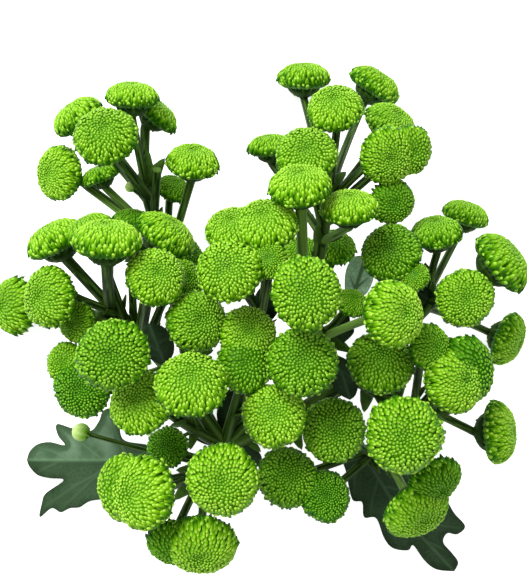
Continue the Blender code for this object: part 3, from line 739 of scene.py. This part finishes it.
for name, rib, left, right, side_veins, heights, lights in LEAVES:
    ribs, first, second = ([Vector(point) for point in line] for line in (rib, left, right))
    veins = [[Vector(point) for point in line] for line in side_veins]
    run = ribs[-1] - ribs[0]
    outline = []
    for side in ([ribs[0]] + first + [ribs[-1]], [ribs[-1]] + second[::-1] + [ribs[0]]):
        outline += smooth_path(side, 5 * len(side))[:-1]
    bm = flat_blade(outline)
    vein = bm.verts.layers.float["vein"]
    light = bm.verts.layers.float["light"]
    for vert in bm.verts:
        flat = vert.co.xy
        aside, spot, _ = nearest_on(ribs, flat)
        on_first = run.cross(flat - spot) * run.cross(first[1] - ribs[0]) > 0
        share = math.exp(-((aside / VEIN_WIDTH) ** 2))
        for line in veins:
            off, _, reach = nearest_on(line, flat)
            side = math.exp(-((off / VEIN_WIDTH / SIDE_VEIN) ** 2))
            share = max(share, side * between(SIDE_VEIN_FADE, reach))
        along = max(0.0, min(1.0, (flat - ribs[0]).dot(run) / run.length_squared))
        height = between(heights, along) * MM
        height += LEAF_FOLD * aside * EYE.z / VIEW_FOCAL + LEAF_ARCH * math.sin(math.pi * along)
        height += VEIN_RISE * share
        # Painted shade darkens the edges and the base, leaving a painted sheen inward, and each
        # side takes its own painted light and shade
        edge = min(1.0, nearest_on(outline + outline[:1], flat)[0] / EDGE_REACH)
        painted_sheen_and_shade = between(EDGE_LIGHTS, edge) * between(BASE_LIGHTS, min(1.0, along / BASE_REACH))
        vert[vein] = share
        vert[light] = lights[0 if on_first else 1] * painted_sheen_and_shade
        vert.co = in_view(flat.x, flat.y, max(height, LOWEST_LEAF))
    thicken(bm)
    leaf = shown(bm, "green_" + name, dark)
    if not name.startswith("inner"):
        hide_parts(name)
    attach(leaf, "root")


# The stems. One main stem, cut at its foot, forks into woody green branches, and each head stands
# on a stalk of its own that leaves a branch in a low curve. All are one growth, ribbed lengthwise.
Branch = namedtuple("Branch", "name start end points heads")

# Each branch runs through points in view (column, row, height in millimetres). Its radii are in
# millimetres. Its heads are named from its tip back toward its root
BRANCHES = [Branch(*row) for row in [
    ("main", 5.2, 4.6, [(212, 508, 4.2), (218, 480, 4.0), (224, 446, 12)], []),
    ("left", 4.2, 3.2, [(224, 446, 12), (203, 405, 28), (164, 350, 42), (110, 306, 56)],
     [11, 9, 15, 16, 10, 23, 12, 13, 17, 18, 14, 20]),
    ("upper_left", 4.2, 3.2, [(203, 405, 28), (188, 300, 34), (160, 240, 42), (145, 186, 50)],
     [4, 2, 3, 1]),
    ("upper_side", 3.0, 2.6, [(188, 300, 34), (176, 264, 36), (163, 242, 38)], [6, 5, 8, 7]),
    ("low_left", 3.2, 2.6, [(224, 446, 12), (192, 436, 34), (160, 410, 50), (115, 368, 62)],
     [19, 21, 22, 31, 30]),
    ("lower", 3.2, 2.6, [(224, 446, 12), (216, 458, 34), (200, 474, 50)],
     [32, 37, 34, 35, 33, 36]),
    ("middle_left", 3.4, 2.8, [(224, 446, 12), (238, 400, 34), (262, 318, 58)],
     [28, 29, 25, 56, 26, 27]),
    ("middle", 3.6, 3.0, [(224, 446, 12), (290, 385, 34), (322, 335, 56)],
     [39, 41, 40, 55, 43, 38, 58]),
    ("upper", 3.8, 3.0, [(290, 385, 34), (314, 318, 58), (320, 262, 77), (330, 185, 74)],
     [61, 63, 62, 65, 64, 66, 67, 59, 60, 57]),
    ("right", 4.0, 3.6, [(224, 446, 12), (262, 428, 24), (320, 420, 28), (365, 405, 40),
                         (400, 350, 50), (430, 302, 56)],
     [49, 50, 48, 46, 47, 51, 45, 42]),
    ("low_right", 3.0, 2.6, [(365, 405, 40), (400, 415, 56), (432, 408, 62)],
     [53, 76, 54, 52, 71]),
    ("bottom_right", 2.8, 2.4, [(320, 420, 28), (350, 450, 38), (388, 462, 46)],
     [74, 75, 70, 73, 72, 69]),
]]

STALK_RADIUS = 0.0020
# Stouter stalks, by the head they bear
STOUT_STALKS = {3: 1.3, 4: 1.25, 5: 1.15, 9: 1.35, 11: 1.35, 17: 1.15, 30: 1.25, 58: 1.25, 69: 1.15}
# How the stalks leave their branch and curve, and where they end in the cup
STALK_SPACING = 0.003
STALK_POINTS = 7
STALK_HANDLE = 0.36
STALK_LIFT = 0.6
CUP_DEPTH = 0.40
CUP_GAP = 0.0003
STALK_TOP = 0.2
STALK_RINGS = 25
# How far a stalk widens at its head and at its root, and within how many rings
HEAD_FLARE, HEAD_FLARE_RINGS = 0.35, 1.6
ROOT_FLARE, ROOT_FLARE_RINGS = 0.25, 2.4
BRANCH_POINTS = 11
BRANCH_RINGS = 41
# How stems ease away from the heads, how far they keep off, and the flat ball that stands for one
BEND_ROUNDS = 60
BEND_EASE = 0.25
STALK_CLEARANCE = 0.0034
BRANCH_CLEARANCE = 0.0050
OBSTACLE_DEPTH = 0.62
OBSTACLE_BACK = 0.19
LOWEST_STALK = 0.003
# How light most stems are, and some stalks, by the head they bear
STEM_LIGHT = 0.12
STALK_LIGHTS = {41: 0.8, 29: 0.5, 57: 0.45, 58: 0.5, 5: 0.3, 6: 0.3, 7: 0.2, 74: 0.35, 30: 0.2,
                69: 0.25}
# The broken stub's end in view, how far from its branch's tip it stands, and its pale cut
STUB = (157, 170, 0.064)
STUB_ROOT = 0.016
STUB_RADIUS = 0.0023
CUT_STEP = 0.0003
CUT_SHARE = 0.96
CUT_LIGHT = 1.1
STEM_SIDES = 8
STEM_RIBS = 7
THIN_RINGS = 17
BUD_STALK_RADIUS = 0.0011
BUD_STALK_SAG = 0.25
BUD_FOOT = 0.3
LEAF_STALK_RADIUS = 0.0010
LEAF_STALK_GAP = 0.0020

# Buds in view (column, row, height in metres), their width, the branch they stand on and how far
# back from its tip
BUDS = [((81, 432, 0.060), 0.0087, "lower", 0.010),
        ((130, 187, 0.056), 0.0050, "upper_left", 0.008)]


def curve(points, handles, count):
    """Points along a cubic curve from the first point to the last, led by two handles."""
    first, last = points
    found = []
    for i in range(count):
        t = i / (count - 1)
        s = 1 - t
        found.append(first * s ** 3 + handles[0] * 3 * s * s * t + handles[1] * 3 * s * t * t
                     + last * t ** 3)
    return found


def bend_clear(path, heads, clearance):
    """Eases a path's inner points out of the heads near it and up from the surface."""
    for turn in range(BEND_ROUNDS):
        ease = BEND_EASE if turn < BEND_ROUNDS - 1 else 0
        for i in range(1, len(path) - 1):
            point = path[i].lerp((path[i - 1] + path[i + 1]) / 2, ease)
            for body in heads:
                away = point - (body.middle - body.forward * body.radius * OBSTACLE_BACK)
                if away.length > body.radius + clearance:
                    continue
                along = away.dot(body.forward)
                across = (away - body.forward * along).length
                depth = math.hypot(along / (body.radius * OBSTACLE_DEPTH + clearance),
                                   across / (body.radius + clearance))
                if 0 < depth < 1:
                    point = point - away + away / depth
            point.z = max(point.z, LOWEST_STALK)
            path[i] = point
    return path


def walk_back(path, distance):
    """The point this far back from a path's tip, and the direction of growth there."""
    left = distance
    for end, start in zip(reversed(path[1:]), reversed(path[:-1])):
        length = (end - start).length
        if length >= left:
            return end.lerp(start, left / length), (end - start).normalized()
        left -= length
    return path[0], (path[1] - path[0]).normalized()


stem_curve = bpy.data.curves.new("stems", "CURVE")
stem_curve.dimensions = "3D"
stem_curve.bevel_depth = 1
stem_curve.bevel_resolution = 2
stem_curve.use_fill_caps = True
stem_lights = []


def stem(points, radii, light=STEM_LIGHT, cut=False):
    """Adds one closed stem through the points, with its radius at each. A cut end is pale."""
    if cut:
        points = points + [points[-1] + (points[-1] - points[-2]).normalized() * CUT_STEP]
        radii = radii + [radii[-1] * CUT_SHARE]
    stem_lights.append([light] * (len(points) - 1) + [CUT_LIGHT if cut else light])
    spline = stem_curve.splines.new("POLY")
    spline.points.add(len(points) - 1)
    for spot, point, radius in zip(spline.points, points, radii):
        spot.co = (*point, 1)
        spot.radius = radius


grown = []
routes = {}
tips = {}
for branch in BRANCHES:
    corners = [in_view(column, row, height * MM) for column, row, height in branch.points]
    if grown:
        corners[0] = min(grown, key=lambda point: (point - corners[0]).length)
    path = bend_clear(smooth_path(corners, BRANCH_POINTS), list(bodies.values()), BRANCH_CLEARANCE)
    grown += path[1:]
    tips[branch.name] = path
    radii = [between((branch.start, branch.end), i / (BRANCH_RINGS - 1)) * MM
             for i in range(BRANCH_RINGS)]
    stem(smooth_path(path, BRANCH_RINGS), radii)
    for i, number in enumerate(branch.heads):
        body = bodies[number]
        top = back_of(body.middle, body.forward, body.radius) - body.forward * CUP_GAP
        foot = top - body.forward * body.radius * CUP_DEPTH
        join, growth = walk_back(path, i * STALK_SPACING)
        reach = (join - foot).length * STALK_HANDLE
        handles = (foot - body.forward * reach, join + growth * reach * STALK_LIFT)
        others = [other for other in bodies.values() if other.number != number]
        route = bend_clear(curve((foot, join), handles, STALK_POINTS), others, STALK_CLEARANCE)
        start = top - body.forward * body.radius * STALK_TOP
        routes[number] = smooth_path([start] + route, STALK_RINGS)
        stout = STALK_RADIUS * STOUT_STALKS.get(number, 1)
        radii = [stout * (1 + HEAD_FLARE * math.exp(-k / HEAD_FLARE_RINGS)
                          + ROOT_FLARE * math.exp((k - STALK_RINGS + 1) / ROOT_FLARE_RINGS))
                 for k in range(STALK_RINGS)]
        stem(routes[number], radii, STALK_LIGHTS.get(number, STEM_LIGHT))

for place, width, branch, distance in BUDS:
    root = walk_back(tips[branch], distance)[0]
    middle = in_view(*place)
    up = (middle - root).normalized()
    bent = root.lerp(middle, 0.5) + Vector((0, 0, width * BUD_STALK_SAG))
    path = smooth_path([root, bent, middle - up * width * BUD_FOOT], THIN_RINGS)
    stem(path, [BUD_STALK_RADIUS] * THIN_RINGS)
root = walk_back(tips["upper_left"], STUB_ROOT)[0]
stem([root, root.lerp(in_view(*STUB), 0.5), in_view(*STUB)], [STUB_RADIUS] * 3, cut=True)
for _, rib, *_, heights, _ in LEAVES:
    base = in_view(*rib[0], heights[0] * MM)
    root = min(grown, key=lambda point: (point - base).length)
    end = base + (root - base).normalized() * LEAF_STALK_GAP
    route = curve((root, end), (root.lerp(end, 0.4), root.lerp(end, 0.7)), STALK_POINTS)
    route = bend_clear(route, list(bodies.values()), STALK_CLEARANCE)
    path = smooth_path(route + [base.lerp(end, 0.2)], THIN_RINGS)
    stem(path, [LEAF_STALK_RADIUS] * THIN_RINGS)

green, tree, shader = new_material("green_stems", 0.5, 0.08)
own_uv = add_node(tree, "UVMap", {}, uv_map="UVMap").outputs["UV"]
round_it = add_node(tree, "SeparateXYZ", {"Vector": own_uv}).outputs["Y"]
wave = worked_out(tree, "SINE", worked_out(tree, "MULTIPLY", round_it, FULL_TURN * STEM_RIBS))
drawn_out = add_node(tree, "Mapping", {"Vector": own_uv, "Scale": (2.5, 7, 1)}).outputs["Vector"]
ribbed = worked_out(tree, "MULTIPLY_ADD", wave, 0.05, noise(tree, drawn_out, 1, 1))
shade = worked_out(tree, "MULTIPLY_ADD", point_value(tree, "light"), 0.8, ribbed)
greens = ramp(tree, shade, (0.48, (0.009, 0.032, 0.002)), (1.0, (0.17, 0.33, 0.050)))
fill_in(tree, shader, {"Base Color": greens})
relief(tree, shader, ribbed, 0.35)

# The curve's tubes become one mesh. Its points come as both caps of each stem, the last stem first,
# and then as the rings of each stem, the first stem first
tubes = bpy.data.objects.new("tubes", stem_curve)
bpy.context.scene.collection.objects.link(tubes)
bpy.context.view_layer.update()
evaluated = tubes.evaluated_get(bpy.context.evaluated_depsgraph_get())
tube_mesh = bpy.data.meshes.new_from_object(evaluated)
bpy.data.objects.remove(tubes)
shares = [share for lights in reversed(stem_lights) for share in (lights[-1], lights[0])]
shares += [share for lights in stem_lights for share in lights]
bm = bmesh.new()
bm.from_mesh(tube_mesh)
light = bm.verts.layers.float.new("light")
for i, vert in enumerate(bm.verts):
    vert[light] = shares[i // STEM_SIDES]
rest_on_floor(bm)
bmesh.ops.remove_doubles(bm, verts=bm.verts[:], dist=1e-7)
stems = shown(bm, "stems_and_stalks", green)
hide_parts("stems")
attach(stems, "root")


# The cups. Under each head sits a bowl of short dark green bracts in overlapping rows, pressed to
# the backs of the outer florets. It is the widened top of the stalk.
CUP_SIDES = 11
CUP_OUTLINE = [(0, -0.03), (0.59, -0.02), (0.64, -0.07), (0.58, -0.18), (0.48, -0.27),
               (0.35, -0.35), (0.21, -0.41), (0.13, -0.48), (0, -0.48)]

# The rows of bracts: how many, how far out and how high their tips are, how many degrees they rise,
# and their size
CUP_ROWS = [(10, 0.47, -0.15, 62, (0.10, 0.035, 0.13)), (14, 0.68, 0.01, 48, (0.10, 0.035, 0.17))]

bm = new_shape("tip", "tone")
spun_round(bm, CUP_OUTLINE, CUP_SIDES)
bowl_shape = saved(bm, "bowl")
bract_shape = floret("bract", 5, 3, -0.2)
draw = random.Random(7)
bm = bmesh.new()
bm.from_mesh(bowl_shape)
for ring, (count, radius, height, rise, size) in enumerate(CUP_ROWS):
    for i in range(count):
        turn = turned_to(i + ring / 2 + draw.uniform(-0.12, 0.12), count)
        lift = math.radians(rise + draw.uniform(-8, 8))
        axis = turn @ Vector((math.cos(lift), 0, math.sin(lift)))
        back = turn @ Vector((math.sin(lift), 0, -math.cos(lift)))
        point = turn @ Vector((radius, 0, height))
        grow(bm, bract_shape, point, axis, back, size, draw.uniform(0, 1))
cup_shape = saved(bm, "cup")

bract_green, tree, shader = new_material("green_bracts", 0.6, 0.05)
object_place = add_node(tree, "TexCoord", {}).outputs["Object"]
mottle = noise(tree, object_place, 300, 2)
shade = worked_out(tree, "MULTIPLY_ADD", point_value(tree, "tip"), 0.55, mottle)
greens = ramp(tree, shade, (0.4, (0.012, 0.040, 0.004)), (1.0, (0.055, 0.13, 0.016)))
fill_in(tree, shader, {"Base Color": greens})

bm = bmesh.new()
for body in bodies.values():
    fresh = add_copy(bm, cup_shape)
    turned = standing(body.forward, back_of(body.middle, body.forward, body.radius))
    spun = Matrix.Rotation(body.number, 4, "Z")
    bmesh.ops.transform(bm, matrix=turned @ Matrix.Scale(body.radius, 4) @ spun, verts=fresh)
rest_on_floor(bm)
cups = shown(bm, "cups_of_bracts", bract_green)
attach(cups, "root")


# The bracts on the stems. Each stalk grows from the fold of a narrow dark leaflet, some bear a
# second one halfway, and a few more clothe the forks between the branches.
LEAFLET_TONE = 0.2
FORK_LEAFLETS = 2

# The leaflets on a stalk: how many rings from its head, their size against the others, and how many
# stalks there are to one that bears it
STALK_LEAFLETS = [(21, 1.0, 1), (10, 0.75, 3)]

LEAFLET_SUNK = 0.002
WIDEST_LEAFLET = 0.0045
LEAFLET_THICKNESS = 0.0012
LONG_LEAFLET_TONE = 0.1

# The longer leaflets by the place that their tip reaches (column, row, height in millimetres). They
# fill places inside the spray that lie in deep shade, and their dark green there is partly foliage
# and partly painted shade
LONG_LEAFLETS = [
    (287, 312, 62), (352, 352, 58), (364, 412, 36), (405, 384, 48), (190, 450, 30), (176, 470, 40),
    (214, 350, 36), (302, 450, 26), (261, 452, 16), (174, 500, 44), (425, 262, 58), (346, 172, 66),
    (472, 404, 60), (140, 186, 46), (165, 158, 52), (148, 150, 50), (124, 262, 50), (92, 330, 52),
]

leaflet_shape = floret("leaflet", 5, 5, -0.45)
draw = random.Random(5)
bm = new_shape("tip", "tone")


def leaflet(root, along, width, length):
    """Adds one narrow leaflet that grows from the root along a stem and bends away from it."""
    aside = Vector((draw.uniform(-1, 1), draw.uniform(-1, 1), draw.uniform(-0.3, 1)))
    aside = along.cross(aside).normalized()
    axis = (along + aside * draw.uniform(0.35, 0.8)).normalized()
    back = -(aside - axis * aside.dot(axis)).normalized()
    size = (width, width * 0.28, length)
    grow(bm, leaflet_shape, root + axis * length * 2, axis, back, size, LEAFLET_TONE)


for number, route in routes.items():
    for k, share, every in STALK_LEAFLETS:
        if number % every == 0:
            length = draw.uniform(0.0032, 0.0050) * share
            leaflet(route[k], (route[k - 3] - route[k]).normalized(), length * 0.42, length)
for path in tips.values():
    for start, end in zip(path[2:], path[3:]):
        for _ in range(FORK_LEAFLETS):
            length = draw.uniform(0.0045, 0.0075)
            root = start.lerp(end, draw.random())
            leaflet(root, (end - start).normalized(), length * 0.5, length)
for column, row, height in LONG_LEAFLETS:
    end = in_view(column, row, height * MM)
    root = min(grown, key=lambda point: (point - end).length)
    axis = (end - root).normalized()
    back = -(Vector((0, 0, 1)) - axis * axis.z).normalized()
    length = (end - root).length / 2 + LEAFLET_SUNK
    size = (min(WIDEST_LEAFLET, length * 0.38), LEAFLET_THICKNESS, length)
    grow(bm, leaflet_shape, end, axis, back, size, LONG_LEAFLET_TONE)
rest_on_floor(bm)
leaflets = shown(bm, "stalk_bracts", bract_green)
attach(leaflets, "root")


# The buds. One fat green bud and one tiny one wait on thin stalks of their own, each a closed ball
# of pale florets held in narrow bracts. A bud is a head that hasn't opened yet.
BUD_SEGMENTS = 24
BUD_RIDGES = 8
BUD_SWELL = 0.04
BUD_BRACTS = 9
BUD_TONE = 0.9
BUD_LIGHT = 0.9
# Where its florets turn pale, how fast, and how pale they get
PALE_FROM, PALE_RISE, PALEST = 0.60, 2.5, 0.65

bm = new_shape("tip", "tone")
tip = bm.verts.layers.float["tip"]
tone = bm.verts.layers.float["tone"]
bmesh.ops.create_uvsphere(bm, u_segments=BUD_SEGMENTS, v_segments=BUD_SEGMENTS // 2, radius=0.5)
for vert in bm.verts:
    ridge = math.cos(BUD_RIDGES * math.atan2(vert.co.y, vert.co.x))
    vert[tip] = 0.72 + 0.40 * vert.co.z + 0.05 * ridge
    vert[tone] = BUD_TONE
    vert.co.x *= 1 + BUD_SWELL * ridge
    vert.co.y *= 1 + BUD_SWELL * ridge
ball_shape = saved(bm, "ball")
bm = bmesh.new()
bm.from_mesh(ball_shape)
for i in range(BUD_BRACTS):
    turn = turned_to(i, BUD_BRACTS)
    axis = turn @ Vector((0.35, 0, 0.94))
    back = turn @ Vector((0.94, 0, -0.35))
    grow(bm, bract_shape, turn @ Vector((0.50, 0, 0.10)), axis, back, (0.13, 0.05, 0.30), 0.1)
bud_shape = saved(bm, "bud")

bm = new_shape("tip", "tone", "light", "pale")
for place, width, branch, distance in BUDS:
    middle = in_view(*place)
    up = (middle - walk_back(tips[branch], distance)[0]).normalized()
    fresh = add_copy(bm, bud_shape)
    bmesh.ops.transform(bm, matrix=standing(up, middle) @ Matrix.Scale(width, 4), verts=fresh)
tip, light, pale = (bm.verts.layers.float[layer] for layer in ("tip", "light", "pale"))
for vert in bm.verts:
    vert[light] = BUD_LIGHT
    vert[pale] = max(0.0, min(PALEST, (vert[tip] - PALE_FROM) * PALE_RISE))
buds = shown(bm, "buds", lime)
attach(buds, "root")


# The floor is a plain pale surface, matt and even, that the spray lies on. A wide soft light from
# the upper left, a weaker one across from it and an even sky light both.
FLOOR_SIZE = 3
FLOOR_DROP = 0.0005

bm = bmesh.new()
bmesh.ops.create_grid(bm, x_segments=1, y_segments=1, size=FLOOR_SIZE)
bmesh.ops.translate(bm, verts=bm.verts, vec=(0, 0, -FLOOR_DROP))
white, tree, shader = new_material("pale_floor", 0.9, 0.5)
fill_in(tree, shader, {"Base Color": (0.95, 0.95, 0.95, 1), "Emission Color": (1, 1, 1, 1),
                       "Emission Strength": 0.75})
floor = shown(bm, "pale_floor", white)

sky = bpy.data.worlds.new("soft_sky")
sky.use_nodes = True
background = sky.node_tree.nodes["Background"]
fill_in(sky.node_tree, background, {"Color": (1, 1, 1, 1), "Strength": 0.45})
bpy.context.scene.world = sky
bpy.context.scene.view_settings.view_transform = "Standard"


def soft_light(name, place, power, size):
    """A square soft light that points at the middle of the spray."""
    lamp = bpy.data.lights.new(name, "AREA")
    lamp.energy = power
    lamp.size = size
    made = bpy.data.objects.new(name, lamp)
    made.location = place
    made.rotation_euler = (Vector((0, 0, 0.05)) - Vector(place)).to_track_quat("-Z", "Y").to_euler()
    bpy.context.scene.collection.objects.link(made)


soft_light("key_light", (-0.6, 0.85, 1.15), 24, 0.7)
soft_light("fill_light", (0.7, -0.5, 1.5), 4, 1.2)
